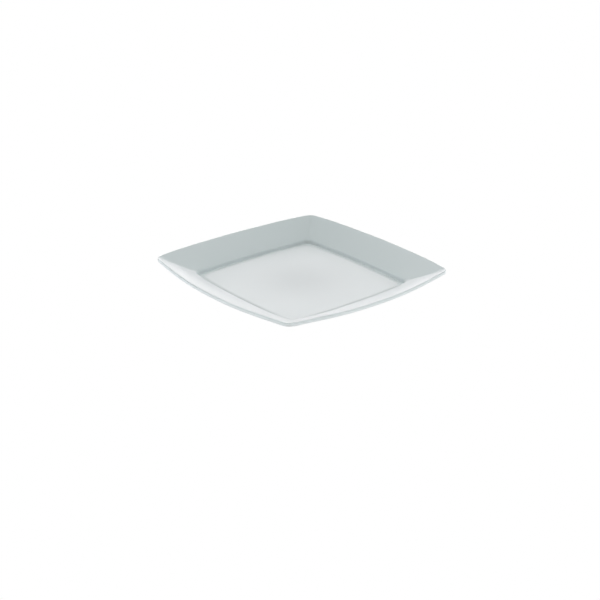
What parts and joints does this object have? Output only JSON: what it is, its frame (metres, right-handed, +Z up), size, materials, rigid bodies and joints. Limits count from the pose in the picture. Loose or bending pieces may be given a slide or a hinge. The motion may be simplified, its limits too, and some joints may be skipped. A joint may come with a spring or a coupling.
{
  "type": "square dessert plate",
  "caption": "Square white dessert plate with bowed sides, lifted corners, a broad sloping rim, a flat well inside a low step, and a square foot ring underneath.",
  "frame": {"origin": "middle of the plate, on the plane that the foot ring stands on", "axes": "+Z up out of the well, +X and +Y through the middles of two neighbouring sides"},
  "size_m": [0.18, 0.18, 0.0188],
  "materials": {
    "white_plastic": "smooth glossy white, faintly cool"
  },
  "bodies": {
    "root": {"plate": "white_plastic"}
  },
  "joints": []
}
